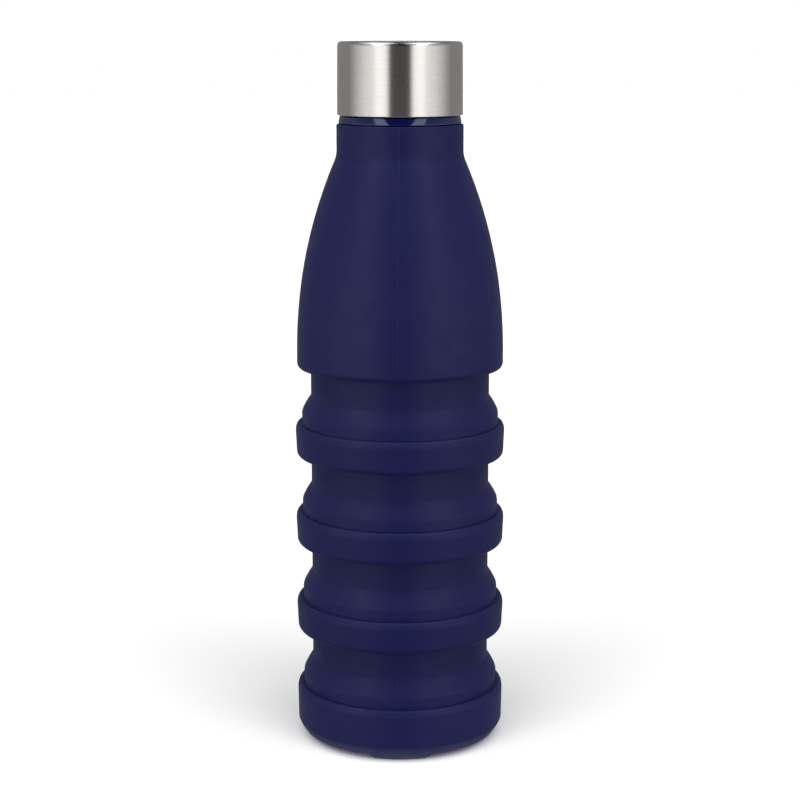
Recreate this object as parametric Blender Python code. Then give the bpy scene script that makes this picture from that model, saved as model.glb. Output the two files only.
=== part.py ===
"""Collapsible silicone water bottle with a steel screw cap.

Units are metres and +Z is up. The origin is the centre of the foot, on the surface the bottle stands on.

The silicone body of the real bottle is one moulding with thick and thin zones. Here every thick zone is
a rigid ring and every thin zone is a fold wall, because the thin wall buckles and lets the ring above drop
over the dome of the ring below.
"""

import math

import bmesh
import bpy
from mathutils import Matrix, Vector

MM = 0.001
GAP = 0.3 * MM                      # space kept between neighbouring solids
WELD = 0.001 * MM
SHARP_EDGE = math.radians(35)

# Bellows: each unit is a band, an upright dome, a flare that slopes in and a waist.
BODY_SEGMENTS = 40
RING_COUNT = 3
BAND_RADIUS = 35.0 * MM
BAND_LOWER_RADIUS = 34.7 * MM
BAND_HEIGHT = 10.9 * MM
BAND_LOWER_ROUND = 1.7 * MM
BAND_TOP_ROUND = (1.0 * MM, 2.4 * MM)      # how far the rounded edge goes in and down
LEDGE_THICKNESS = 1.9 * MM
DOME_RADIUS = 32.85 * MM
DOME_HEIGHT = 4.1 * MM
DOME_WALL = 1.5 * MM
FLARE_HEIGHT = 5.2 * MM
FLARE_BULGE = 0.35 * MM
FLARE_STEPS = 4
WAIST_RADIUS = 29.8 * MM
WAIST_HEIGHT = 9.8 * MM
FOLD_WALL = 0.9 * MM
BAND_INNER_RADIUS = DOME_RADIUS + GAP
DOME_TOTAL_HEIGHT = DOME_HEIGHT + FLARE_HEIGHT
UNIT_HEIGHT = BAND_HEIGHT + DOME_TOTAL_HEIGHT + WAIST_HEIGHT

# Base cup: a band with a floor, standing on pads with wide notches between them.
BASE_HEIGHT = 17.8 * MM
BASE_LOWER_RADIUS = 34.8 * MM
BASE_INNER_RADIUS = 32.8 * MM
BASE_FLOOR = 4.2 * MM
BASE_FLOOR_ROUND = 4.0 * MM
FOOT_OUTER_RADIUS = 31.0 * MM
FOOT_INNER_RADIUS = 24.0 * MM
FOOT_CORNER_HEIGHT = 5.2 * MM
FOOT_CORNER_POWER = 1.2             # 1 is a straight chamfer and 2 is an ellipse
FOOT_CORNER_STEPS = 4
RECESS_DEPTH = 1.8 * MM
RECESS_SLOPE = 0.8 * MM
PAD_COUNT = 4
PAD_HEIGHT = 1.5 * MM
PAD_FOOT_ANGLE = math.radians(31.2) # how much of the circle a pad takes at the floor
PAD_TOP_ANGLE = math.radians(38.6)

# Shoulder: a bell that narrows to the neck.
BELL_RADIUS = 34.36 * MM
BELL_STRAIGHT = 3.4 * MM            # upright part below the curve
BELL_DROP = 13.9 * MM               # how far the curve would come in over its full height
BELL_CURVE_HEIGHT = 67.2 * MM
BELL_POWER = 2.15
BELL_WALL = 2.0 * MM
BELL_STEPS = 9
BELL_SPACING = 0.8                  # under 1 sets the points closer together near the top
NECK_RADIUS = 20.8 * MM
NECK_TOP = 80.1 * MM
NECK_TOP_ROUND = 0.4 * MM
NECK_BORE_RADIUS = 18.8 * MM
NECK_BORE_BOTTOM = 68.3 * MM

# Rigid insert in the neck: a barbed skirt, a collar that shows and a threaded mouth.
RIM_SEGMENTS = 48
MOUTH_RADIUS = 16.3 * MM
SKIRT_RADIUS = 18.5 * MM
SKIRT_LENGTH = 13.9 * MM
BARB_RADIUS = 19.3 * MM
BARB_HEIGHT = 1.2 * MM
BARB_LEVELS = (-8.9 * MM, -4.9 * MM)
GROOVE_RADIUS = BARB_RADIUS + GAP
COLLAR_RADIUS = 20.15 * MM
COLLAR_HEIGHT = 2.35 * MM
EDGE_ROUND = 0.3 * MM
THREAD_ROOT_RADIUS = 17.85 * MM
MOUTH_TOP = 20.6 * MM
MOUTH_ROUND = 0.5 * MM

# Screw thread of the neck and the cap.
THREAD_LEAD = 4.0 * MM
THREAD_TURNS = 1.5
THREAD_START = 9.5 * MM             # above the underside of the collar
THREAD_CREST_RADIUS = 18.8 * MM
THREAD_ROOT_WIDTH = 1.9 * MM
THREAD_CREST_WIDTH = 0.9 * MM
THREAD_EMBED = 0.4 * MM
THREAD_RUNOUT_STEPS = 6

# Cap: a steel shell over a threaded liner, with a flat seal ring.
CAP_GAP = 0.35 * MM                 # between the collar and the lower edge of the cap
CAP_RADIUS = 20.52 * MM
CAP_TOP_RADIUS = 20.35 * MM
CAP_HEIGHT = 23.5 * MM
CAP_TOP_ROUND = 1.25 * MM
CAP_EDGE_ROUND = 0.25 * MM
SHELL_WALL = 0.5 * MM
SHELL_TOP = 0.6 * MM
LINER_BOTTOM = 0.5 * MM
LINER_ROOT_RADIUS = 19.1 * MM
LINER_CREST_RADIUS = 18.2 * MM
LINER_EMBED = 0.25 * MM
LINER_PLATE_BOTTOM = 20.1 * MM
PLUG_OUTER_RADIUS = 15.0 * MM
PLUG_INNER_RADIUS = 13.4 * MM
PLUG_DEPTH = 1.6 * MM
SEAL_THICKNESS = 1.6 * MM
SEAL_ROUND = 0.3 * MM

# Levels of the assembly above the foot.
SHOULDER_LEVEL = BASE_HEIGHT + (RING_COUNT + 1) * UNIT_HEIGHT - BAND_HEIGHT
COLLAR_LEVEL = SHOULDER_LEVEL + NECK_TOP + GAP
CAP_LEVEL = COLLAR_LEVEL + COLLAR_HEIGHT + CAP_GAP

# Finishes: linear colour, roughness, metallic.
SILICONE = ("navy_silicone", (0.020, 0.021, 0.078), 0.55, 0.0)
NECK_PLASTIC = ("gloss_navy_plastic", (0.006, 0.008, 0.045), 0.12, 0.0)
LINER_PLASTIC = ("liner_plastic", (0.55, 0.55, 0.53), 0.45, 0.0)
SEAL_RUBBER = ("seal_silicone", (0.62, 0.62, 0.60), 0.60, 0.0)
STEEL = ("brushed_steel", (0.60, 0.59, 0.57), 0.30, 1.0)


def clear_scene():
    for item in list(bpy.data.objects):
        bpy.data.objects.remove(item, do_unlink=True)


def finish_material(finish):
    name, colour, roughness, metallic = finish
    if name in bpy.data.materials:
        return bpy.data.materials[name]
    material = bpy.data.materials.new(name)
    material.use_nodes = True
    shader = material.node_tree.nodes["Principled BSDF"]
    shader.inputs["Base Color"].default_value = (*colour, 1.0)
    shader.inputs["Roughness"].default_value = roughness
    shader.inputs["Metallic"].default_value = metallic
    material.diffuse_color = (*colour, 1.0)
    return material


def add_object(name, bm, finish, parent=None, level=0.0):
    """Turn the bmesh into an object with its origin on the bottle's axis, LEVEL above its parent's origin."""
    mesh = bpy.data.meshes.new(name)
    bm.to_mesh(mesh)
    bm.free()
    mesh.shade_smooth()
    mesh.set_sharp_from_angle(angle=SHARP_EDGE)
    item = bpy.data.objects.new(name, mesh)
    bpy.context.scene.collection.objects.link(item)
    if finish:
        mesh.materials.append(finish_material(finish))
    item.parent = parent
    item.location.z = level
    return item


def add_tool(name, bm, target, operation):
    """Hidden helper solid that a Boolean modifier on TARGET adds or cuts."""
    tool = add_object(name, bm, None, parent=target)
    tool.hide_render = True
    tool.display_type = "WIRE"
    modifier = target.modifiers.new(name, "BOOLEAN")
    modifier.operation = operation
    modifier.solver = "EXACT"
    modifier.object = tool


def arc(center, radii, start, end, steps):
    """Points on an elliptic arc, with angles in degrees from the outward direction towards +Z."""
    points = []
    for step in range(steps + 1):
        angle = math.radians(start + (end - start) * step / steps)
        points.append((center[0] + radii[0] * math.cos(angle), center[1] + radii[1] * math.sin(angle)))
    return points


def bulged(start, end, bulge, steps):
    """Points from START to END on a shallow curve that stands BULGE outside the straight line."""
    along = Vector(end) - Vector(start)
    outward = Vector((along.y, -along.x)).normalized()
    points = []
    for step in range(steps + 1):
        t = step / steps
        point = Vector(start) + along * t + outward * bulge * 4 * t * (1 - t)
        points.append((point.x, point.y))
    return points


def lathe(outline, segments):
    """Turn an outline of (radius, height) points about Z; one that starts on the axis stays open there."""
    bm = bmesh.new()
    profile = [bm.verts.new((radius, 0.0, height)) for radius, height in outline]
    ends = profile[1:] if outline[0][0] == 0 else profile[1:] + profile[:1]
    edges = [bm.edges.new(pair) for pair in zip(profile, ends)]
    bmesh.ops.spin(bm, geom=profile + edges, cent=(0, 0, 0), axis=(0, 0, 1), angle=math.tau, steps=segments)
    bmesh.ops.remove_doubles(bm, verts=bm.verts, dist=WELD)
    bmesh.ops.recalc_face_normals(bm, faces=bm.faces)
    return bm


def dome_outside(ledge):
    """Dome and flare above a ledge, from the ledge up to the waist."""
    upright_top = ledge + DOME_HEIGHT
    flare_top = upright_top + FLARE_HEIGHT
    flare = bulged((DOME_RADIUS, upright_top), (WAIST_RADIUS, flare_top), FLARE_BULGE, FLARE_STEPS)
    return [(DOME_RADIUS, ledge), *flare]


def dome_inside(ledge):
    """Hollow side of the same dome, from the waist down to the underside of the ledge."""
    upright_top = ledge + DOME_HEIGHT - DOME_WALL / 2
    flare_top = ledge + DOME_TOTAL_HEIGHT
    inner_radius = DOME_RADIUS - DOME_WALL
    flare_end = (WAIST_RADIUS - DOME_WALL, flare_top)
    flare = bulged((inner_radius, upright_top), flare_end, FLARE_BULGE, FLARE_STEPS // 2)
    return [*reversed(flare), (inner_radius, ledge - LEDGE_THICKNESS)]


def band_lower_edge(radius):
    """Rounded lower edge of a band or of the shoulder, from the bore outwards and up."""
    width = radius - BAND_INNER_RADIUS - GAP / 2
    curve = arc((radius - width, BAND_LOWER_ROUND), (width, BAND_LOWER_ROUND), -90, 0, 3)
    return [(BAND_INNER_RADIUS, 0.0), *curve]


def band_upper_edge(height):
    """Rounded upper edge of a band, from its side up to the flat ledge at HEIGHT."""
    inward, down = BAND_TOP_ROUND
    return arc((BAND_RADIUS - inward, height - down), BAND_TOP_ROUND, 0, 90, 3)


def build_ring(name, parent, level):
    """Stiff ring: a hollow band with a dome on top. Its origin is on the lower edge of the band."""
    outline = band_lower_edge(BAND_LOWER_RADIUS)
    outline += band_upper_edge(BAND_HEIGHT)
    outline += dome_outside(BAND_HEIGHT)
    outline += dome_inside(BAND_HEIGHT)
    outline.append((BAND_INNER_RADIUS, BAND_HEIGHT - LEDGE_THICKNESS))
    return add_object(name, lathe(outline, BODY_SEGMENTS), SILICONE, parent, level)


def build_fold_wall(name, parent, level):
    """Thin wall of a waist, with a flange that closes the bore of the band above."""
    height = WAIST_HEIGHT - GAP
    inner_radius = WAIST_RADIUS - FOLD_WALL
    flange_radius = BAND_INNER_RADIUS - GAP
    outline = [
        (inner_radius, 0.0),
        (WAIST_RADIUS, 0.0),
        (WAIST_RADIUS, height),
        (flange_radius, height),
        (flange_radius, height + FOLD_WALL),
        (inner_radius, height + FOLD_WALL),
    ]
    return add_object(name, lathe(outline, BODY_SEGMENTS), SILICONE, parent, level)


def foot_corner():
    """Superellipse from the foot's contact ring out to the side of the base."""
    width = BASE_LOWER_RADIUS - FOOT_OUTER_RADIUS
    points = []
    for step in range(FOOT_CORNER_STEPS + 1):
        angle = math.pi / 2 * (1 - step / FOOT_CORNER_STEPS)
        outward = width * math.cos(angle) ** (2 / FOOT_CORNER_POWER)
        down = FOOT_CORNER_HEIGHT * math.sin(angle) ** (2 / FOOT_CORNER_POWER)
        points.append((FOOT_OUTER_RADIUS + outward, FOOT_CORNER_HEIGHT - down))
    return points


def notch_cutters():
    """Radial wedges, wider at the floor, that cut the foot ring away between the pads."""
    inner = FOOT_INNER_RADIUS - 6 * RECESS_SLOPE
    outer = BAND_RADIUS + PAD_HEIGHT
    top_slope = math.tan(math.pi / PAD_COUNT - PAD_TOP_ANGLE / 2)
    foot_slope = math.tan(math.pi / PAD_COUNT - PAD_FOOT_ANGLE / 2)
    low_slope = 2 * foot_slope - top_slope
    bm = bmesh.new()
    for index in range(PAD_COUNT):
        wedge = bmesh.ops.create_cube(bm, size=1.0)["verts"]
        for vert in wedge:
            radius = outer if vert.co.x > 0 else inner
            slope = top_slope if vert.co.z > 0 else low_slope
            vert.co = Vector((radius, 2 * radius * slope * vert.co.y, 2 * PAD_HEIGHT * vert.co.z))
        turn = Matrix.Rotation(math.tau * (index + 0.5) / PAD_COUNT, 4, "Z")
        bmesh.ops.transform(bm, matrix=turn, verts=wedge)
    return bm


def build_base_cup():
    """Cup at the bottom of the bottle: foot, floor, band and the lowest dome."""
    outline = [
        (0.0, RECESS_DEPTH),
        (FOOT_INNER_RADIUS - RECESS_SLOPE, RECESS_DEPTH),
        (FOOT_INNER_RADIUS, 0.0),
        *foot_corner(),
        *band_upper_edge(BASE_HEIGHT),
        *dome_outside(BASE_HEIGHT),
        *dome_inside(BASE_HEIGHT),
        (BASE_INNER_RADIUS, BASE_HEIGHT - LEDGE_THICKNESS),
    ]
    floor_round = (BASE_INNER_RADIUS - BASE_FLOOR_ROUND, BASE_FLOOR + BASE_FLOOR_ROUND)
    outline += arc(floor_round, (BASE_FLOOR_ROUND, BASE_FLOOR_ROUND), 0, -90, 2)
    outline.append((0.0, BASE_FLOOR))
    base = add_object("base_cup", lathe(outline, BODY_SEGMENTS), SILICONE)
    add_tool("foot_notches", notch_cutters(), base, "DIFFERENCE")
    return base


def bell_radius(height):
    rise = max(0.0, height - BELL_STRAIGHT) / BELL_CURVE_HEIGHT
    return BELL_RADIUS - BELL_DROP * rise ** BELL_POWER


def bell_curve(bottom, top, steps, wall):
    """Points on the bell from BOTTOM to TOP, WALL inside its outer surface."""
    points = []
    for step in range(steps + 1):
        height = bottom + (top - bottom) * (step / steps) ** BELL_SPACING
        points.append((bell_radius(height) - wall, height))
    return points


def build_shoulder(parent, level):
    """Bell-shaped shoulder with the soft neck. Its origin is on its lower edge."""
    neck_share = ((BELL_RADIUS - NECK_RADIUS) / BELL_DROP) ** (1 / BELL_POWER)
    curve_top = BELL_STRAIGHT + BELL_CURVE_HEIGHT * neck_share
    outline = band_lower_edge(BELL_RADIUS)
    outline += bell_curve(BELL_STRAIGHT, curve_top, BELL_STEPS, 0.0)
    rim_centre = (NECK_RADIUS - NECK_TOP_ROUND, NECK_TOP - NECK_TOP_ROUND)
    outline += arc(rim_centre, (NECK_TOP_ROUND, NECK_TOP_ROUND), 0, 90, 1)
    outline.append((NECK_BORE_RADIUS, NECK_TOP))
    for barb in reversed(BARB_LEVELS):
        groove_bottom = NECK_TOP + barb
        groove_top = groove_bottom + BARB_HEIGHT + 2 * GAP
        outline.append((NECK_BORE_RADIUS, groove_top))
        outline.append((GROOVE_RADIUS, groove_top))
        outline.append((GROOVE_RADIUS, groove_bottom))
        outline.append((NECK_BORE_RADIUS, groove_bottom))
    outline.append((NECK_BORE_RADIUS, NECK_BORE_BOTTOM))
    inner_top = NECK_BORE_BOTTOM - BELL_WALL
    inner_bottom = DOME_TOTAL_HEIGHT
    outline += reversed(bell_curve(inner_bottom, inner_top, BELL_STEPS - 3, BELL_WALL))
    outline.append((BAND_INNER_RADIUS, DOME_HEIGHT + GAP))
    return add_object("shoulder", lathe(outline, BODY_SEGMENTS), SILICONE, parent, level)


def thread_ridge(wall_radius, crest_radius, embed, start):
    """Right-handed helical ridge that grows out of a wall and runs out at both ends."""
    side = 1 if crest_radius > wall_radius else -1
    base_radius = wall_radius - side * embed
    hidden_crest = wall_radius - side * embed / 4
    steps = round(THREAD_TURNS * RIM_SEGMENTS)
    bm = bmesh.new()
    previous = None
    for step in range(steps + 1):
        fade = min(1.0, step / THREAD_RUNOUT_STEPS, (steps - step) / THREAD_RUNOUT_STEPS)
        crest = hidden_crest + (crest_radius - hidden_crest) * fade
        turn = Matrix.Rotation(math.tau * (step + 0.5) / RIM_SEGMENTS, 4, "Z")
        height = start + THREAD_LEAD * step / RIM_SEGMENTS
        section = [
            (base_radius, height - THREAD_ROOT_WIDTH / 2),
            (crest, height - THREAD_CREST_WIDTH / 2),
            (crest, height + THREAD_CREST_WIDTH / 2),
            (base_radius, height + THREAD_ROOT_WIDTH / 2),
        ]
        loop = [bm.verts.new(turn @ Vector((radius, 0.0, z))) for radius, z in section]
        if previous:
            for corner in range(4):
                after = (corner + 1) % 4
                bm.faces.new((previous[corner], previous[after], loop[after], loop[corner]))
        else:
            bm.faces.new(loop)
        previous = loop
    bm.faces.new(previous)
    bmesh.ops.recalc_face_normals(bm, faces=bm.faces)
    return bm


def build_neck_insert(parent, level):
    """Rigid mouth of the bottle. Its origin is on the underside of the collar."""
    outline = [
        (MOUTH_RADIUS, -SKIRT_LENGTH),
        (SKIRT_RADIUS - EDGE_ROUND, -SKIRT_LENGTH),
        (SKIRT_RADIUS, EDGE_ROUND - SKIRT_LENGTH),
    ]
    for barb in BARB_LEVELS:
        outline.append((SKIRT_RADIUS, barb))
        outline.append((BARB_RADIUS, barb + BARB_HEIGHT))
        outline.append((SKIRT_RADIUS, barb + BARB_HEIGHT))
    outline += [
        (SKIRT_RADIUS, 0.0),
        (COLLAR_RADIUS - EDGE_ROUND, 0.0),
        (COLLAR_RADIUS, EDGE_ROUND),
        (COLLAR_RADIUS, COLLAR_HEIGHT - EDGE_ROUND),
        (COLLAR_RADIUS - EDGE_ROUND, COLLAR_HEIGHT),
        (THREAD_ROOT_RADIUS, COLLAR_HEIGHT),
        (THREAD_ROOT_RADIUS, MOUTH_TOP - MOUTH_ROUND),
        (THREAD_ROOT_RADIUS - MOUTH_ROUND, MOUTH_TOP),
        (MOUTH_RADIUS + MOUTH_ROUND, MOUTH_TOP),
        (MOUTH_RADIUS, MOUTH_TOP - MOUTH_ROUND),
    ]
    neck = add_object("neck_insert", lathe(outline, RIM_SEGMENTS), NECK_PLASTIC, parent, level)
    ridge = thread_ridge(THREAD_ROOT_RADIUS, THREAD_CREST_RADIUS, THREAD_EMBED, THREAD_START)
    add_tool("neck_thread", ridge, neck, "UNION")
    return neck


def build_cap_shell(parent):
    """Steel shell of the cap, closed at the top. Its origin is on its lower edge."""
    corner = (CAP_TOP_RADIUS - CAP_TOP_ROUND, CAP_HEIGHT - CAP_TOP_ROUND)
    inner_corner_round = CAP_TOP_ROUND - SHELL_WALL
    outline = [
        (0.0, CAP_HEIGHT - SHELL_TOP),
        (corner[0], CAP_HEIGHT - SHELL_TOP),
        (corner[0] + inner_corner_round, corner[1]),
        (CAP_RADIUS - SHELL_WALL, 0.0),
        (CAP_RADIUS - CAP_EDGE_ROUND, 0.0),
        (CAP_RADIUS, CAP_EDGE_ROUND),
        *arc(corner, (CAP_TOP_ROUND,) * 2, 0, 90, 3),
        (0.0, CAP_HEIGHT),
    ]
    return add_object("cap_shell", lathe(outline, RIM_SEGMENTS), STEEL, parent)


def build_cap_liner(parent):
    """Plastic liner that carries the cap's thread and a plug ring which centres the seal."""
    top = CAP_HEIGHT - SHELL_TOP - GAP
    lower_radius = CAP_RADIUS - SHELL_WALL - GAP
    upper_radius = CAP_TOP_RADIUS - SHELL_WALL - GAP
    plug_bottom = LINER_PLATE_BOTTOM - PLUG_DEPTH
    outline = [
        (0.0, LINER_PLATE_BOTTOM),
        (PLUG_INNER_RADIUS, LINER_PLATE_BOTTOM),
        (PLUG_INNER_RADIUS, plug_bottom),
        (PLUG_OUTER_RADIUS, plug_bottom),
        (PLUG_OUTER_RADIUS, LINER_PLATE_BOTTOM),
        (LINER_ROOT_RADIUS, LINER_PLATE_BOTTOM),
        (LINER_ROOT_RADIUS, LINER_BOTTOM),
        (lower_radius, LINER_BOTTOM),
        (upper_radius, top - CAP_TOP_ROUND),
        (upper_radius - CAP_TOP_ROUND, top),
        (0.0, top),
    ]
    liner = add_object("cap_liner", lathe(outline, RIM_SEGMENTS), LINER_PLASTIC, parent)
    start = COLLAR_LEVEL + THREAD_START - THREAD_LEAD / 2 - CAP_LEVEL
    ridge = thread_ridge(LINER_ROOT_RADIUS, LINER_CREST_RADIUS, LINER_EMBED, start)
    add_tool("liner_thread", ridge, liner, "UNION")
    return liner


def build_cap_seal(parent):
    """Flat ring pressed on the mouth when the cap is tight."""
    top = LINER_PLATE_BOTTOM - GAP
    bottom = top - SEAL_THICKNESS
    inner_radius = PLUG_OUTER_RADIUS + GAP
    outer_radius = LINER_ROOT_RADIUS - GAP
    outline = [
        (inner_radius, bottom),
        (outer_radius - SEAL_ROUND, bottom),
        (outer_radius, bottom + SEAL_ROUND),
        (outer_radius, top),
        (inner_radius, top),
    ]
    return add_object("cap_seal", lathe(outline, RIM_SEGMENTS), SEAL_RUBBER, parent)


def build_bottle():
    """Stack the body upwards, each ring on the one it folds onto, then add the mouth and the cap."""
    lower = build_base_cup()
    ledge = BASE_HEIGHT
    for number in range(RING_COUNT + 1, 0, -1):
        dome_top = ledge + DOME_TOTAL_HEIGHT
        build_fold_wall(f"fold_wall_{number}", lower, dome_top + GAP)
        if number > 1:
            lower = build_ring(f"ring_{number - 1}", lower, dome_top + WAIST_HEIGHT)
            ledge = BAND_HEIGHT
        else:
            lower = build_shoulder(lower, dome_top + WAIST_HEIGHT)
    build_neck_insert(lower, NECK_TOP + GAP)
    cap_axis = bpy.data.objects.new("cap_axis", None)
    bpy.context.scene.collection.objects.link(cap_axis)
    cap_axis.parent = lower
    cap_axis.location.z = CAP_LEVEL - SHOULDER_LEVEL
    build_cap_shell(cap_axis)
    build_cap_liner(cap_axis)
    build_cap_seal(cap_axis)


clear_scene()
build_bottle()
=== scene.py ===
"""Looks of the folding water bottle: fine turned meshes, procedural finishes, a pale studio and a camera.

Every length is in metres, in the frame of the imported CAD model. The bottle's axis is Z, and its front is
at -Y.
"""

import math

import bmesh
import bpy
import numpy as np
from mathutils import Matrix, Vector


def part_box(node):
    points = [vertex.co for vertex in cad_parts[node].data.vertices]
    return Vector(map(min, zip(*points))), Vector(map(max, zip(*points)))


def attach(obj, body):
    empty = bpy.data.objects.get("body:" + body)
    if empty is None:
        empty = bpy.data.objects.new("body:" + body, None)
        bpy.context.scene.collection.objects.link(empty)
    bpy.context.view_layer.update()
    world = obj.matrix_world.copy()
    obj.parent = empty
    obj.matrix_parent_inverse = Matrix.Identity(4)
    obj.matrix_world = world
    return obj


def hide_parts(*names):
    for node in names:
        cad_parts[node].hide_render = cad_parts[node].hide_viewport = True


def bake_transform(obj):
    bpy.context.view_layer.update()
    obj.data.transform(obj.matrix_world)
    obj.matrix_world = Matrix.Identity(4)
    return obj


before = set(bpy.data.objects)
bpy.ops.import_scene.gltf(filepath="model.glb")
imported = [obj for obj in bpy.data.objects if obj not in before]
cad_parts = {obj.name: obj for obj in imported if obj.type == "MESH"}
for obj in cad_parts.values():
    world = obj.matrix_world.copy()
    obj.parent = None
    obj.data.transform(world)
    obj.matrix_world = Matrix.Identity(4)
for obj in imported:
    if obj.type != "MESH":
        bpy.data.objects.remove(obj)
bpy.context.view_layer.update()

MM = 0.001
GAP = 0.3 * MM                              # between neighbouring pieces of the CAD model

# Where the CAD pieces are. The rest of each profile is set by the named sizes below.
FOLDS = {number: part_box(f"fold_wall_{number}") for number in (1, 2, 3, 4)}
RINGS = {number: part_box(f"ring_{number}") for number in (1, 2, 3)}
BASE_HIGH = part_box("base_cup")[1]
SHOULDER_LOW, SHOULDER_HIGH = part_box("shoulder")
NECK_LOW, NECK_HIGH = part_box("neck_insert")
SHELL_LOW, SHELL_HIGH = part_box("cap_shell")
LINER_LOW, LINER_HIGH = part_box("cap_liner")

# Bellows
BAND_RADIUS = RINGS[1][1].x
BAND_LOWER_RADIUS = BAND_RADIUS - 0.3 * MM
BAND_HEIGHT = 10.9 * MM
BORE_RADIUS = FOLDS[1][1].x + GAP           # the hollow of a band, which the dome below drops into
DOME_RADIUS = FOLDS[1][1].x
DOME_HEIGHT = 4.1 * MM
DOME_WALL = 1.5 * MM
LEDGE_THICKNESS = 1.9 * MM
FLARE_HEIGHT = RINGS[1][1].z - RINGS[1][0].z - BAND_HEIGHT - DOME_HEIGHT
FLARE_BULGE = 0.2 * MM
WAIST_RADIUS = 29.8 * MM
WAIST_ROUND = 0.5 * MM
WAIST_STUB = 0.8 * MM                       # start of the waist, moulded with the dome
FOLD_WALL = 0.9 * MM
FOLD_ROUND = 0.3 * MM
FOLD_ROWS = 11                              # rows of points up a fold wall, between its ends
LOWER_ROUND_HEIGHT = 1.7 * MM
LOWER_LAND = 0.05 * MM                      # flat strip left between the bore and the lower round
TOP_EDGE_ROUND = (1.0 * MM, 2.4 * MM)       # how far the band's upper edge is rounded in and down
CREASE_WIDTH = 0.35 * MM                    # the crease between a band and its dome
CREASE_DEPTH = 0.3 * MM
CREASE_EDGE_ROUND = 0.12 * MM
CREASE_ROOT_ROUND = 0.08 * MM
DOME_EDGE_ROUND = 3.6 * MM

# Base
BASE_LOWER_RADIUS = BASE_HIGH.x - 0.2 * MM
BASE_LEDGE = BASE_HIGH.z - DOME_HEIGHT - FLARE_HEIGHT
BASE_INNER_RADIUS = 32.8 * MM
BASE_FLOOR = 4.2 * MM
BASE_FLOOR_ROUND = 4.0 * MM
FOOT_OUTER_RADIUS = 31.0 * MM
FOOT_INNER_RADIUS = 24.0 * MM
FOOT_CORNER_HEIGHT = 5.2 * MM
FOOT_CORNER_POWER = 1.2                     # 1 would be a straight bevel, and 2 a quarter of an ellipse
FOOT_CORNER_STEPS = 12
RECESS_DEPTH = 1.8 * MM
RECESS_SLOPE = 0.8 * MM                     # how far the edge of the recess leans inwards
RECESS_ROUND = 0.3 * MM
PAD_COUNT = 4
PAD_HEIGHT = 1.5 * MM
PAD_FOOT_ANGLE = math.radians(31.2)         # how much of the circle a pad takes at the floor
PAD_TOP_ANGLE = math.radians(38.6)
PAD_COLUMNS = (-0.15, 0.0, 0.35, 0.65, 1.0, 1.15)  # across a pad's sloped end, from 0 at the floor to 1
PAD_SQUEEZE = 0.02                          # thickness kept by what lies lower than the roof of a notch

# Shoulder and neck
BELL_RADIUS = SHOULDER_HIGH.x
BELL_STRAIGHT = 3.4 * MM
BELL_DROP = 13.9 * MM
BELL_CURVE_HEIGHT = 67.2 * MM
BELL_POWER = 2.15
BELL_WALL = 2.0 * MM
BELL_ROWS = 54
BELL_INNER_ROWS = 24
NECK_RADIUS = 20.8 * MM
NECK_BLEND = 9.0 * MM                       # radius of the hollow curve between bell and neck
NECK_BLEND_REACH = 2.4 * MM                 # how far below that curve's corner the bell's own points end
NECK_RIM_ROUND = 0.45 * MM
NECK_BORE_RADIUS = 18.8 * MM
NECK_BORE_ROUND = 0.3 * MM
NECK_BORE_HEIGHT = 11.8 * MM

# Neck insert and cap
MOUTH_RADIUS = 16.3 * MM
MOUTH_ROUND = 0.5 * MM
SKIRT_RADIUS = 18.5 * MM
SKIRT_ROUNDS = (0.3 * MM, 0.4 * MM)         # on the inner and the outer edge of its lower end
COLLAR_LEVEL = SHOULDER_HIGH.z + GAP
COLLAR_HEIGHT = 2.35 * MM
COLLAR_ROUND = 0.2 * MM
COLLAR_TAPER = 0.45 * MM                    # how much narrower the collar is at its top
COLLAR_BULGE = 0.05 * MM
THREAD_ROOT_RADIUS = 17.85 * MM
THREAD_RISE = 0.95 * MM
THREAD_LEAD = 4.0 * MM
THREAD_TURNS = 1.5
THREAD_RUN_OUT = 0.125                      # turns
THREAD_START = 9.5 * MM                     # above the underside of the collar
THREAD_FLANK = 0.5 * MM
THREAD_HALF_CREST = 0.4 * MM
THREAD_BELOW = 1.6 * MM                     # how far the fine rows reach below and above the thread's start
THREAD_ABOVE = 7.6 * MM
THREAD_ROWS = 62
THREAD_ROOT_ROUND = 0.3 * MM
LINER_ROOT_RADIUS = 19.1 * MM
LINER_RISE = 0.9 * MM
LINER_PLATE = 3.4 * MM                      # from the top of the cap to the underside of the liner's plate
LINER_CONE = 0.15 * MM
LINER_CHAMFER = (1.4 * MM, 1.2 * MM)        # inwards and down
PLUG_RADII = (13.4 * MM, 15.0 * MM)
PLUG_HEIGHT = 1.6 * MM
PLUG_ROUND = 0.2 * MM
CAP_TOP_RADIUS = SHELL_HIGH.x - 0.17 * MM
CAP_TOP_ROUND = 1.2 * MM
SHELL_WALL = 0.5 * MM
SHELL_TOP = 0.6 * MM
SHELL_INNER_ROUND = 0.7 * MM
LIP_BEVEL = 0.2 * MM                        # height of the lip's sloped inner side
LIP_INNER_ROUND = 0.1 * MM
LIP_OUTER_ROUND = 0.22 * MM

# Mould parting line, a fine ridge down the front and the back
SEAM_HEIGHT = 0.14 * MM                     # at the rim, where the mould halves gape most
SEAM_LOW_HEIGHT = 0.05 * MM                 # well below the rim
SEAM_FADE = 5 * MM
SEAM_HALF_WIDTH = 0.16 * MM
SEAM_TURN = math.radians(-1.2)              # the front line sits a little to the left
SEAM_ANGLES = (-math.pi / 2 + SEAM_TURN, math.pi / 2 + SEAM_TURN)
SEAM_COLUMNS = (0.08, 0.16, 0.25, 0.35, 0.47, 0.62, 0.85, 1.2)  # degrees to either side of the line

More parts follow.
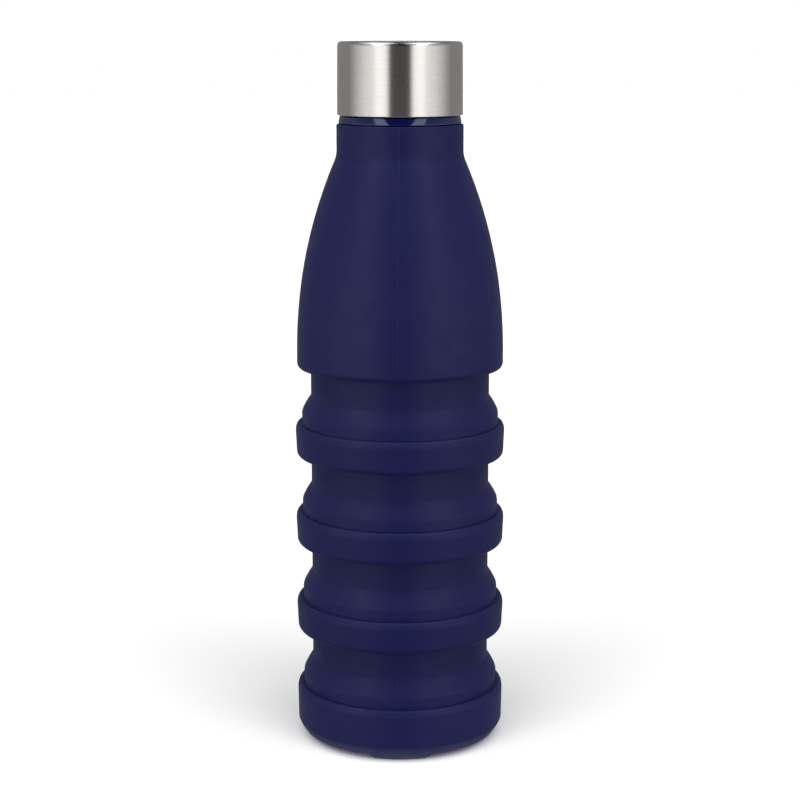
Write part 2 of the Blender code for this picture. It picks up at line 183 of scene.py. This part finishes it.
# Meshes
COLUMNS = 160                               # round the axis, before the ones at the parting line
LONG_SPAN = 1.2 * MM                        # a straight line longer than this gets a point near each end
SPAN_MARGIN = 0.3 * MM
MERGE_DISTANCE = 1e-7
SHARP_ANGLE = math.radians(50)

# Floor and camera
FLOOR_HALF_SIZE = 6.0
FLOOR_CLEARANCE = 0.2 * MM
CAMERA_DISTANCE = 0.646
CAMERA_HEIGHT = 0.2399
CAMERA_PITCH = math.radians(10.93)
CAMERA_LENS = 88.27
SENSOR_WIDTH = 36.0

# Light tent, as radiance by direction. Azimuth 0 is the camera's side, and left and right are alike.
HORIZON_PANELS = 1.30
SIDE_PANELS = 1.35
SIDE_WINGS = 0.18                           # dimmer stretch beyond the side panels
SIDE_LEAN = 0.6                             # how far the edges of the side panels open with elevation
TOP_PANEL = 0.58                            # with a dark strip over the top, from front to back
TOP_SIDE_PANELS = 1.85
UNDER_PANEL = 0.22
BACK_PANEL = 0.22
FRONT_TABLE = 0.16
FLOOR_LIGHT = 3.15
FLOOR_BOUNCE = 0.4
LIGHT_WIDTH = math.radians(80)              # angular width of both of these lights
FLOOR_LIGHT_TILT = math.radians(50)         # from the front, so the shadow falls behind the bottle
FLOOR_BOUNCE_TILT = math.radians(172)       # from below, a little from the front


# ---- profiles ----------------------------------------------------------------------------------------

def arc(centre, radii, start, end, steps):
    """Points on an elliptic arc, with angles in degrees from the outward direction towards +Z."""
    points = []
    for step in range(steps + 1):
        angle = math.radians(start + (end - start) * step / steps)
        points.append((centre[0] + radii[0] * math.cos(angle), centre[1] + radii[1] * math.sin(angle)))
    return points


def bulged(start, end, bulge, steps):
    """Points from START to END on a shallow curve that stands BULGE outside the straight line."""
    start, along = Vector(start), Vector(end) - Vector(start)
    outward = Vector((along.y, -along.x)).normalized()
    shares = np.linspace(0, 1, steps + 1)
    return [tuple(start + along * t + outward * bulge * 4 * t * (1 - t)) for t in shares]


def fillet(before, corner, after, radius, steps=6):
    """Points of the arc that replaces a corner, tangent to both of its sides."""
    into = (Vector(before) - Vector(corner)).normalized()
    out = (Vector(after) - Vector(corner)).normalized()
    half = into.angle(out) / 2
    reach = radius / math.tan(half)
    centre = Vector(corner) + (into + out).normalized() * radius / math.sin(half)
    first, last = Vector(corner) + into * reach - centre, Vector(corner) + out * reach - centre
    sweep = first.angle_signed(last)
    points = []
    for step in range(steps + 1):
        turn = -sweep * step / steps
        points.append((
            centre.x + first.x * math.cos(turn) - first.y * math.sin(turn),
            centre.y + first.x * math.sin(turn) + first.y * math.cos(turn),
        ))
    return points


def profile(corners):
    """Closed outline from (radius, height) points and (radius, height, fillet radius) corners.

    Long straight spans get a point near each end, which keeps the shading of a rounded edge to that edge.
    """
    plain = [corner[:2] for corner in corners]
    points = []
    for index, corner in enumerate(corners):
        if len(corner) == 3:
            points += fillet(plain[index - 1], plain[index], plain[(index + 1) % len(plain)], corner[2])
        else:
            points.append(corner)
    outline = []
    for here, there in zip(points, points[1:] + points[:1]):
        outline.append(here)
        span = Vector(there) - Vector(here)
        if span.length > LONG_SPAN and max(here[0], there[0]) > 0:
            near = SPAN_MARGIN / span.length
            outline += [tuple(Vector(here) + span * near), tuple(Vector(here) + span * (1 - near))]
    return outline


def column_angles(extra=()):
    """Angles round the axis for a turned mesh: an even ring, with more at the parting line and at EXTRA."""
    angles = {round(math.tau * step / COLUMNS, 6) for step in range(COLUMNS)}
    for seam in SEAM_ANGLES:
        for offset in SEAM_COLUMNS:
            angles |= {round((seam + math.radians(side * offset)) % math.tau, 6) for side in (-1, 1)}
    angles |= {round(angle % math.tau, 6) for angle in extra}
    return np.array(sorted(angles))


def turned(name, outline, angles, shape=None):
    """Closed mesh turned about Z. SHAPE takes arrays of radius, angle and height and returns new ones."""
    points = np.array(outline)
    angle, radius = np.meshgrid(angles, points[:, 0], indexing="ij")
    height = np.broadcast_to(points[:, 1], radius.shape)
    if shape:
        radius, angle, height = shape(radius, angle, height)
    coordinates = np.stack([radius * np.cos(angle), radius * np.sin(angle), height], axis=-1).reshape(-1, 3)
    columns, rows = len(angles), len(points)
    column, row = np.meshgrid(np.arange(columns), np.arange(rows), indexing="ij")
    next_column, next_row = (column + 1) % columns, (row + 1) % rows
    corners = [(column, row), (next_column, row), (next_column, next_row), (column, next_row)]
    faces = np.stack([along * rows + up for along, up in corners], axis=-1).reshape(-1, 4)
    mesh = bpy.data.meshes.new(name)
    mesh.from_pydata(coordinates.tolist(), [], faces.tolist())
    bm = bmesh.new()
    bm.from_mesh(mesh)
    bmesh.ops.remove_doubles(bm, verts=bm.verts, dist=MERGE_DISTANCE)
    bmesh.ops.recalc_face_normals(bm, faces=bm.faces)
    bm.to_mesh(mesh)
    bm.free()
    mesh.shade_smooth()
    mesh.set_sharp_from_angle(angle=SHARP_ANGLE)
    item = bpy.data.objects.new(name, mesh)
    bpy.context.scene.collection.objects.link(item)
    return item


def with_seam(radius, angle, height):
    """Raises the parting line on the outside of the silicone, strongest at the rim of the neck."""
    fading = np.exp(-np.abs(SHOULDER_HIGH.z - height) / SEAM_FADE)
    ridge = SEAM_LOW_HEIGHT + (SEAM_HEIGHT - SEAM_LOW_HEIGHT) * fading
    for seam in SEAM_ANGLES:
        off = (angle - seam + math.pi) % math.tau - math.pi
        across = np.abs(off) * radius / SEAM_HALF_WIDTH
        radius = radius + ridge * np.exp(-across ** 2)
    return radius, angle, height


def piece(item, body, node, material):
    """Gives a piece its material, hands it to the body that carries it and hides the CAD node it stands
    for.
    """
    item.data.materials.append(material)
    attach(item, body)
    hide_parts(node)
    return item


# ---- finishes ----------------------------------------------------------------------------------------

class Nodes:
    """Short way to add and join shader nodes of one material or world."""

    def __init__(self, owner):
        owner.use_nodes = True
        self.tree = owner.node_tree

    def add(self, kind, settings=None, **inputs):
        """Adds a node, with values or links for its inputs, by name or as _0, _1 and so on by number."""
        node = self.tree.nodes.new("ShaderNode" + kind)
        for key, value in (settings or {}).items():
            setattr(node, key, value)
        for key, value in inputs.items():
            self.put(node.inputs[int(key[1:]) if key[0] == "_" else key], value)
        return node

    def put(self, socket, value):
        if isinstance(value, bpy.types.NodeSocket):
            self.tree.links.new(value, socket)
        else:
            socket.default_value = value

    def shade(self, **inputs):
        """Sets inputs of the Principled shader, named with _ for each space."""
        shader = self.tree.nodes["Principled BSDF"]
        for key, value in inputs.items():
            self.put(shader.inputs[key.replace("_", " ")], value)

    def math(self, operation, *values):
        inputs = {f"_{index}": value for index, value in enumerate(values)}
        return self.add("Math", {"operation": operation}, **inputs).outputs[0]

    def noise(self, scale, detail=2.0, roughness=0.5, vector=None):
        node = self.add("TexNoise", Scale=scale, Detail=detail, Roughness=roughness)
        self.put(node.inputs["Vector"], vector or self.place())
        return node.outputs["Fac"]

    def place(self):
        """Object coordinates, in metres."""
        return self.add("TexCoord").outputs["Object"]

    def spread(self, value, low, high, start=0.3, stop=0.7):
        """Maps a value from START..STOP, which holds most of a noise, to LOW..HIGH."""
        node = self.add("MapRange", _0=value, _1=start, _2=stop, _3=low, _4=high)
        return node.outputs[0]

    def tint(self, value, dark, light):
        """Colour from DARK at 0 to LIGHT at 1, from the colour sockets of a Mix node."""
        node = self.add("Mix", {"data_type": "RGBA"}, _0=value)
        node.inputs[6].default_value = (*dark, 1.0)
        node.inputs[7].default_value = (*light, 1.0)
        return node.outputs[2]

    def bump(self, height, strength, distance, normal=None):
        node = self.add("Bump", Strength=strength, Distance=distance, Height=height)
        if normal:
            self.put(node.inputs["Normal"], normal)
        return node.outputs["Normal"]


def silicone_finish(name):
    """Matt navy silicone: a cloudy tone, slow waves and the fine grain of a spark-eroded mould."""
    material = bpy.data.materials.new(name)
    nodes = Nodes(material)
    cloud = nodes.spread(nodes.noise(scale=45.0, detail=3.0), low=0.0, high=1.0)
    grain = nodes.noise(scale=5200.0, roughness=0.6)
    wave = nodes.bump(nodes.noise(scale=120.0, detail=1.0), strength=0.25, distance=0.0002)
    nodes.shade(
        Base_Color=nodes.tint(cloud, dark=(0.0082, 0.0107, 0.116), light=(0.0090, 0.0117, 0.126)),
        Roughness=nodes.spread(nodes.noise(scale=160.0, detail=3.0), low=0.46, high=0.56),
        IOR=1.41,
        Sheen_Weight=0.04,
        Sheen_Roughness=0.45,
        Normal=nodes.bump(grain, strength=0.10, distance=0.00004, normal=wave),
    )
    return material


def gloss_finish(name, dark, light):
    """Polished plastic with faint flow marks and a bluish reflection."""
    material = bpy.data.materials.new(name)
    nodes = Nodes(material)
    cloud = nodes.spread(nodes.noise(scale=80.0), low=0.0, high=1.0)
    nodes.shade(
        Base_Color=nodes.tint(cloud, dark, light),
        Roughness=nodes.spread(nodes.noise(scale=300.0, detail=3.0), low=0.06, high=0.11),
        IOR=1.90,
        Specular_Tint=(0.70, 0.82, 1.0, 1.0),
        Normal=nodes.bump(nodes.noise(scale=140.0), strength=0.15, distance=0.0001),
    )
    return material


def moulded_finish(name, dark, light, roughness):
    """Plain moulded plastic or rubber with a fine grain."""
    material = bpy.data.materials.new(name)
    nodes = Nodes(material)
    cloud = nodes.spread(nodes.noise(scale=90.0, detail=3.0), low=0.0, high=1.0)
    nodes.shade(
        Base_Color=nodes.tint(cloud, dark, light),
        Roughness=nodes.spread(nodes.noise(scale=240.0), low=roughness - 0.05, high=roughness + 0.05),
        Normal=nodes.bump(nodes.noise(scale=3800.0), strength=0.12, distance=0.00004),
    )
    return material


def steel_finish(name):
    """Brushed steel: lines run round the side and in rings on the top."""
    material = bpy.data.materials.new(name)
    nodes = Nodes(material)
    axes = nodes.add("SeparateXYZ", _0=nodes.place())
    flat = nodes.add("CombineXYZ", _0=axes.outputs[0], _1=axes.outputs[1])
    radius = nodes.add("VectorMath", {"operation": "LENGTH"}, _0=flat.outputs[0]).outputs["Value"]
    across = nodes.math("ADD", axes.outputs[2], radius)

    def lines(length, width):
        """Noise stretched along the brushing, with streaks of LENGTH by WIDTH."""
        vector = nodes.add(
            "CombineXYZ",
            _0=nodes.math("DIVIDE", axes.outputs[0], length),
            _1=nodes.math("DIVIDE", axes.outputs[1], length),
            _2=nodes.math("DIVIDE", across, width),
        ).outputs[0]
        return nodes.noise(scale=1.0, detail=3.0, roughness=0.6, vector=vector)

    fine = lines(length=4 * MM, width=0.12 * MM)
    coarse = nodes.spread(lines(length=10 * MM, width=0.6 * MM), low=0.0, high=1.0)
    nodes.shade(
        Base_Color=nodes.tint(coarse, dark=(0.84, 0.81, 0.785), light=(0.89, 0.86, 0.835)),
        Metallic=1.0,
        Roughness=nodes.spread(fine, low=0.26, high=0.29),
        Anisotropic=0.92,
        Anisotropic_Rotation=0.25,
        Tangent=nodes.add("Tangent", {"direction_type": "RADIAL", "axis": "Z"}).outputs[0],
        Normal=nodes.bump(fine, strength=0.018, distance=0.00002),
    )
    return material


SILICONE = silicone_finish("navy_silicone")
NECK_PLASTIC = gloss_finish("gloss_navy_plastic", (0.0082, 0.0142, 0.120), (0.0094, 0.0160, 0.134))
LINER_PLASTIC = moulded_finish("liner_plastic", (0.52, 0.52, 0.50), (0.57, 0.57, 0.55), roughness=0.45)
SEAL_SILICONE = moulded_finish("seal_silicone", (0.58, 0.58, 0.56), (0.64, 0.64, 0.62), roughness=0.60)
STEEL = steel_finish("brushed_steel")


# ---- silicone body -----------------------------------------------------------------------------------

def lower_edge(radius, level):
    """Rounded lower edge of a band or of the shoulder, from the bore outwards and up."""
    width = radius - BORE_RADIUS - LOWER_LAND
    curve = arc((radius - width, level + LOWER_ROUND_HEIGHT), (width, LOWER_ROUND_HEIGHT), -90, 0, steps=8)
    return [(BORE_RADIUS, level), *curve]


def dome(ledge):
    """Both sides of a dome, from the band's top edge up to the waist and back down to under the ledge."""
    upright = ledge + DOME_HEIGHT
    waist = upright + FLARE_HEIGHT
    inner_upright = upright - DOME_WALL / 2
    inner_radius = DOME_RADIUS - DOME_WALL
    inner_waist = WAIST_RADIUS - FOLD_WALL
    inward, down = TOP_EDGE_ROUND
    return [
        *arc((BAND_RADIUS - inward, ledge - down), TOP_EDGE_ROUND, 0, 90, steps=10),
        (DOME_RADIUS + CREASE_WIDTH, ledge, CREASE_EDGE_ROUND),
        (DOME_RADIUS, ledge - CREASE_DEPTH, CREASE_ROOT_ROUND),
        (DOME_RADIUS, upright, DOME_EDGE_ROUND),
        *bulged((DOME_RADIUS, upright), (WAIST_RADIUS, waist), FLARE_BULGE, steps=8)[1:-1],
        (WAIST_RADIUS, waist, WAIST_ROUND),
        (WAIST_RADIUS, waist + WAIST_STUB),
        (inner_waist, waist + WAIST_STUB),
        *reversed(bulged((inner_radius, inner_upright), (inner_waist, waist), FLARE_BULGE, steps=6)),
        (inner_radius, ledge - LEDGE_THICKNESS),
    ]


def build_rings():
    angles = column_angles()
    for number, (low, _) in RINGS.items():
        level = low.z
        outline = profile([
            *lower_edge(BAND_LOWER_RADIUS, level),
            *dome(level + BAND_HEIGHT),
            (BORE_RADIUS, level + BAND_HEIGHT - LEDGE_THICKNESS),
        ])
        ring = turned(f"ring_{number}_skin", outline, angles, with_seam)
        piece(ring, f"ring_{number}_body", f"ring_{number}", SILICONE)


def build_fold_walls():
    """Waist walls that join a dome to the band above."""
    angles = column_angles()
    for number, (low, high) in FOLDS.items():
        bottom = low.z - GAP + WAIST_STUB
        top = high.z - FOLD_WALL
        inner = WAIST_RADIUS - FOLD_WALL
        rows = np.linspace(bottom, top, FOLD_ROWS + 2)[1:-1]
        outline = profile([
            (inner, bottom),
            (WAIST_RADIUS, bottom),
            *((WAIST_RADIUS, row) for row in rows),
            (WAIST_RADIUS, top, FOLD_ROUND),
            (BORE_RADIUS, top),
            (BORE_RADIUS, top + FOLD_WALL),
            (inner, top + FOLD_WALL),
            *((inner, row) for row in reversed(rows)),
        ])
        wall = turned(f"fold_wall_{number}_skin", outline, angles, with_seam)
        wall.data.materials.append(SILICONE)
        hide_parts(f"fold_wall_{number}")
        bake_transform(wall)


def pad_angles():
    """Columns at the edges and in the sloped ends of the foot's pads."""
    found = []
    for index in range(PAD_COUNT):
        centre = math.tau * index / PAD_COUNT
        for share in PAD_COLUMNS:
            offset = (PAD_FOOT_ANGLE + share * (PAD_TOP_ANGLE - PAD_FOOT_ANGLE)) / 2
            found += [centre - offset, centre + offset]
    return found


def with_pads(radius, angle, height):
    """Lifts the foot ring between its pads, then raises the parting line."""
    pitch = math.tau / PAD_COUNT
    off_pad = np.abs((angle + pitch / 2) % pitch - pitch / 2)
    lift = PAD_HEIGHT * np.clip((2 * off_pad - PAD_FOOT_ANGLE) / (PAD_TOP_ANGLE - PAD_FOOT_ANGLE), 0, 1)
    ring = radius > FOOT_INNER_RADIUS - RECESS_SLOPE - RECESS_ROUND
    height = np.where(ring & (height < lift), lift + height * PAD_SQUEEZE, height)
    return with_seam(radius, angle, height)


def build_base():
    width = BASE_LOWER_RADIUS - FOOT_OUTER_RADIUS
    corner = []
    for step in range(FOOT_CORNER_STEPS + 1):
        angle = math.pi / 2 * (1 - step / FOOT_CORNER_STEPS)
        outward = width * math.cos(angle) ** (2 / FOOT_CORNER_POWER)
        down = FOOT_CORNER_HEIGHT * math.sin(angle) ** (2 / FOOT_CORNER_POWER)
        corner.append((FOOT_OUTER_RADIUS + outward, FOOT_CORNER_HEIGHT - down))
    outline = profile([
        (0.0, RECESS_DEPTH),
        (FOOT_INNER_RADIUS - RECESS_SLOPE, RECESS_DEPTH, RECESS_ROUND),
        (FOOT_INNER_RADIUS, 0.0, RECESS_ROUND),
        *corner,
        *dome(BASE_LEDGE),
        (BASE_INNER_RADIUS, BASE_LEDGE - LEDGE_THICKNESS),
        (BASE_INNER_RADIUS, BASE_FLOOR, BASE_FLOOR_ROUND),
        (0.0, BASE_FLOOR),
    ])
    base = turned("base_cup_skin", outline, column_angles(pad_angles()), with_pads)
    return piece(base, "base", "base_cup", SILICONE)


def bell(height, wall=0.0):
    """Point of the bell at a height above its lower edge, WALL inside its outer surface."""
    rise = max(0.0, height - BELL_STRAIGHT) / BELL_CURVE_HEIGHT
    return BELL_RADIUS - BELL_DROP * rise ** BELL_POWER - wall, SHOULDER_LOW.z + height


def build_shoulder():
    neck_share = ((BELL_RADIUS - NECK_RADIUS) / BELL_DROP) ** (1 / BELL_POWER)
    curve_top = BELL_STRAIGHT + BELL_CURVE_HEIGHT * neck_share
    neck_top = SHOULDER_HIGH.z
    bore_bottom = neck_top - NECK_BORE_HEIGHT
    outside = np.linspace(BELL_STRAIGHT, curve_top - NECK_BLEND_REACH, BELL_ROWS)
    inside_top = bore_bottom - SHOULDER_LOW.z - BELL_WALL
    inside = np.linspace(DOME_HEIGHT + FLARE_HEIGHT, inside_top, BELL_INNER_ROWS)
    outline = profile([
        *lower_edge(BELL_RADIUS, SHOULDER_LOW.z),
        *(bell(height) for height in outside),
        (NECK_RADIUS, SHOULDER_LOW.z + curve_top, NECK_BLEND),
        (NECK_RADIUS, neck_top, NECK_RIM_ROUND),
        (NECK_BORE_RADIUS, neck_top, NECK_BORE_ROUND),
        (NECK_BORE_RADIUS, bore_bottom),
        *(bell(height, BELL_WALL) for height in reversed(inside)),
        (BORE_RADIUS, SHOULDER_LOW.z + DOME_HEIGHT),
    ])
    shoulder = turned("shoulder_skin", outline, column_angles(), with_seam)
    piece(shoulder, "shoulder_body", "shoulder", SILICONE)


# ---- mouth and cap -----------------------------------------------------------------------------------

def thread_height(angle, height, start):
    """How far a right-hand thread stands out, from 0 to 1, with run-outs at both ends."""
    turns = (height - start) / THREAD_LEAD
    whole = np.round(turns - angle / math.tau)
    along = whole + angle / math.tau
    off = np.abs(turns - along) * THREAD_LEAD
    ridge = np.clip((THREAD_HALF_CREST + THREAD_FLANK - off) / THREAD_FLANK, 0, 1)
    ends = np.clip(np.minimum(along, THREAD_TURNS - along) / THREAD_RUN_OUT, 0, 1)
    return ridge * np.sqrt(ends)


def thread_rows(start):
    """Heights of the fine rows that carry a thread, from below to above."""
    return np.linspace(start - THREAD_BELOW, start + THREAD_ABOVE, THREAD_ROWS)


def threaded_wall(root_radius, rise, start):
    """Shape for turned() that raises a thread on the wall at ROOT_RADIUS, inwards if RISE is negative."""
    def shape(radius, angle, height):
        on_wall = np.isclose(radius, root_radius)
        return radius + rise * thread_height(angle, height, start) * on_wall, angle, height
    return shape


def build_neck_insert():
    collar_top = COLLAR_LEVEL + COLLAR_HEIGHT
    lower_rim = (NECK_HIGH.x, COLLAR_LEVEL)
    upper_rim = (NECK_HIGH.x - COLLAR_TAPER, collar_top)
    start = COLLAR_LEVEL + THREAD_START
    outline = profile([
        (MOUTH_RADIUS, NECK_LOW.z, SKIRT_ROUNDS[0]),
        (SKIRT_RADIUS, NECK_LOW.z, SKIRT_ROUNDS[1]),
        (SKIRT_RADIUS, COLLAR_LEVEL, COLLAR_ROUND),
        (*lower_rim, COLLAR_ROUND),
        *bulged(lower_rim, upper_rim, COLLAR_BULGE, steps=8)[1:-1],
        (*upper_rim, COLLAR_ROUND),
        (THREAD_ROOT_RADIUS, collar_top, THREAD_ROOT_ROUND),
        *((THREAD_ROOT_RADIUS, row) for row in thread_rows(start)),
        (THREAD_ROOT_RADIUS, NECK_HIGH.z, MOUTH_ROUND),
        (MOUTH_RADIUS, NECK_HIGH.z, MOUTH_ROUND),
    ])
    threaded = threaded_wall(THREAD_ROOT_RADIUS, THREAD_RISE, start)
    insert = turned("neck_insert_gloss", outline, column_angles(), threaded)
    piece(insert, "shoulder_body", "neck_insert", NECK_PLASTIC)


def build_cap_shell():
    low, high = SHELL_LOW.z, SHELL_HIGH.z
    outer = SHELL_HIGH.x
    outline = profile([
        (0.0, high - SHELL_TOP),
        (CAP_TOP_RADIUS - SHELL_WALL, high - SHELL_TOP, SHELL_INNER_ROUND),
        (outer - SHELL_WALL, low + LIP_BEVEL, LIP_INNER_ROUND),
        (outer - SHELL_WALL / 2, low),
        (outer, low, LIP_OUTER_ROUND),
        (CAP_TOP_RADIUS, high, CAP_TOP_ROUND),
        (0.0, high),
    ])
    shell = turned("cap_shell_steel", outline, column_angles())
    piece(shell, "cap", "cap_shell", STEEL)


def build_cap_liner():
    """Plastic cup in the shell. Its thread runs half a lead below the neck's, so the two engage."""
    plate = SHELL_HIGH.z - LINER_PLATE
    plug = plate - PLUG_HEIGHT
    start = COLLAR_LEVEL + THREAD_START - THREAD_LEAD / 2
    outer, high = LINER_HIGH.x, LINER_HIGH.z
    chamfer_in, chamfer_down = LINER_CHAMFER
    outline = profile([
        (0.0, plate),
        (PLUG_RADII[0], plate),
        (PLUG_RADII[0], plug, PLUG_ROUND),
        (PLUG_RADII[1], plug, PLUG_ROUND),
        (PLUG_RADII[1], plate),
        (LINER_ROOT_RADIUS, plate),
        *((LINER_ROOT_RADIUS, row) for row in reversed(thread_rows(start))),
        (LINER_ROOT_RADIUS, LINER_LOW.z),
        (outer, LINER_LOW.z),
        (outer - LINER_CONE, high - chamfer_down),
        (outer - chamfer_in, high),
        (0.0, high),
    ])
    threaded = threaded_wall(LINER_ROOT_RADIUS, -LINER_RISE, start)
    liner = turned("cap_liner_moulding", outline, column_angles(), threaded)
    piece(liner, "cap", "cap_liner", LINER_PLASTIC)


def finish_seal():
    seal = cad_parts["cap_seal"]
    seal.data.materials.clear()
    seal.data.materials.append(SEAL_SILICONE)


# ---- studio ------------------------------------------------------------------------------------------

def build_floor():
    """Pale floor that the camera sees, left out of the object's reflections and of its light."""
    mesh = bpy.data.meshes.new("floor")
    bm = bmesh.new()
    bmesh.ops.create_grid(bm, x_segments=1, y_segments=1, size=FLOOR_HALF_SIZE)
    bm.to_mesh(mesh)
    bm.free()
    floor = bpy.data.objects.new("floor", mesh)
    bpy.context.scene.collection.objects.link(floor)
    floor.location.z = -FLOOR_CLEARANCE
    material = bpy.data.materials.new("pale_floor")
    Nodes(material).shade(Base_Color=(0.90, 0.90, 0.90, 1.0), Roughness=0.9, Specular_IOR_Level=0.0)
    mesh.materials.append(material)
    floor.visible_glossy = False
    floor.visible_diffuse = False
    floor.visible_shadow = False
    return floor


def linked_light(name, energy, tilt, receiver):
    """Broad light for RECEIVER alone. TILT moves it from overhead to the front, and on to below."""
    light = bpy.data.lights.new(name, "SUN")
    light.energy = energy
    light.angle = LIGHT_WIDTH
    item = bpy.data.objects.new(name, light)
    item.rotation_euler.x = tilt
    bpy.context.scene.collection.objects.link(item)
    lit = bpy.data.collections.new(f"lit_by_{name}")
    lit.objects.link(receiver)
    item.light_linking.receiver_collection = lit


def build_world():
    """White behind everything the camera sees, and a light tent for light and reflections."""
    world = bpy.data.worlds.new("light_tent")
    bpy.context.scene.world = world
    nodes = Nodes(world)
    axes = nodes.add("SeparateXYZ", _0=nodes.add("TexCoord").outputs["Generated"]).outputs
    side = nodes.math("ABSOLUTE", axes["X"])
    azimuth = nodes.math("ARCTAN2", side, nodes.math("MULTIPLY", axes["Y"], -1.0))
    elevation = nodes.math("ARCSINE", axes["Z"])

    def edge(value, start, stop):
        """Soft edge of a panel: 0 at START and 1 at STOP, both in degrees."""
        low, high = sorted((start, stop))
        ends = (0.0, 1.0) if start < stop else (1.0, 0.0)
        node = nodes.add(
            "MapRange", {"interpolation_type": "SMOOTHSTEP"},
            _0=value, _1=math.radians(low), _2=math.radians(high), _3=ends[0], _4=ends[1],
        )
        return node.outputs[0]

    leaning = nodes.math("MULTIPLY_ADD", elevation, -SIDE_LEAN, azimuth)
    sideways = nodes.math("ARCSINE", side)
    panels = (
        (HORIZON_PANELS, edge(azimuth, 16, 26), edge(azimuth, 112, 55),
         edge(elevation, -25, -8), edge(elevation, 12, 2)),
        (SIDE_PANELS, edge(leaning, 13, 18), edge(leaning, 43, 36),
         edge(elevation, 0, 10), edge(elevation, 55, 38)),
        (SIDE_WINGS, edge(leaning, 36, 43), edge(azimuth, 120, 90),
         edge(elevation, 0, 10), edge(elevation, 55, 38)),
        (TOP_PANEL, edge(elevation, 38, 58), edge(sideways, 8, 20)),
        (TOP_SIDE_PANELS, edge(elevation, 38, 58), edge(azimuth, 10, 60), edge(azimuth, 120, 80)),
        (UNDER_PANEL, edge(elevation, -40, -60)),
        (BACK_PANEL, edge(azimuth, 70, 120), edge(elevation, 50, 30)),
        (FRONT_TABLE, edge(azimuth, 34, 12), edge(elevation, 0, -10), edge(elevation, -50, -30)),
    )
    radiance = 0.0
    for strength, *edges in panels:
        for shape in edges:
            strength = nodes.math("MULTIPLY", strength, shape)
        radiance = nodes.math("ADD", radiance, strength)
    white = (1.0, 1.0, 1.0, 1.0)
    tent = nodes.add("Background", Color=white, Strength=radiance)
    seen = nodes.add("Background", Color=white)
    camera_ray = nodes.add("LightPath").outputs["Is Camera Ray"]
    mix = nodes.add("MixShader", _0=camera_ray, _1=tent.outputs[0], _2=seen.outputs[0])
    nodes.put(nodes.tree.nodes["World Output"].inputs["Surface"], mix.outputs[0])


def build_camera():
    camera = bpy.data.cameras.new("camera")
    camera.lens = CAMERA_LENS
    camera.sensor_width = SENSOR_WIDTH
    item = bpy.data.objects.new("camera", camera)
    bpy.context.scene.collection.objects.link(item)
    item.location = (0.0, -CAMERA_DISTANCE, CAMERA_HEIGHT)
    item.rotation_euler = (math.pi / 2 - CAMERA_PITCH, 0, 0)
    bpy.context.scene.camera = item
    bpy.context.scene.view_settings.view_transform = "Standard"


base_skin = build_base()
build_rings()
build_fold_walls()
build_shoulder()
build_neck_insert()
build_cap_shell()
build_cap_liner()
finish_seal()
linked_light("floor_light", FLOOR_LIGHT, FLOOR_LIGHT_TILT, build_floor())
linked_light("floor_bounce", FLOOR_BOUNCE, FLOOR_BOUNCE_TILT, base_skin)
build_world()
build_camera()
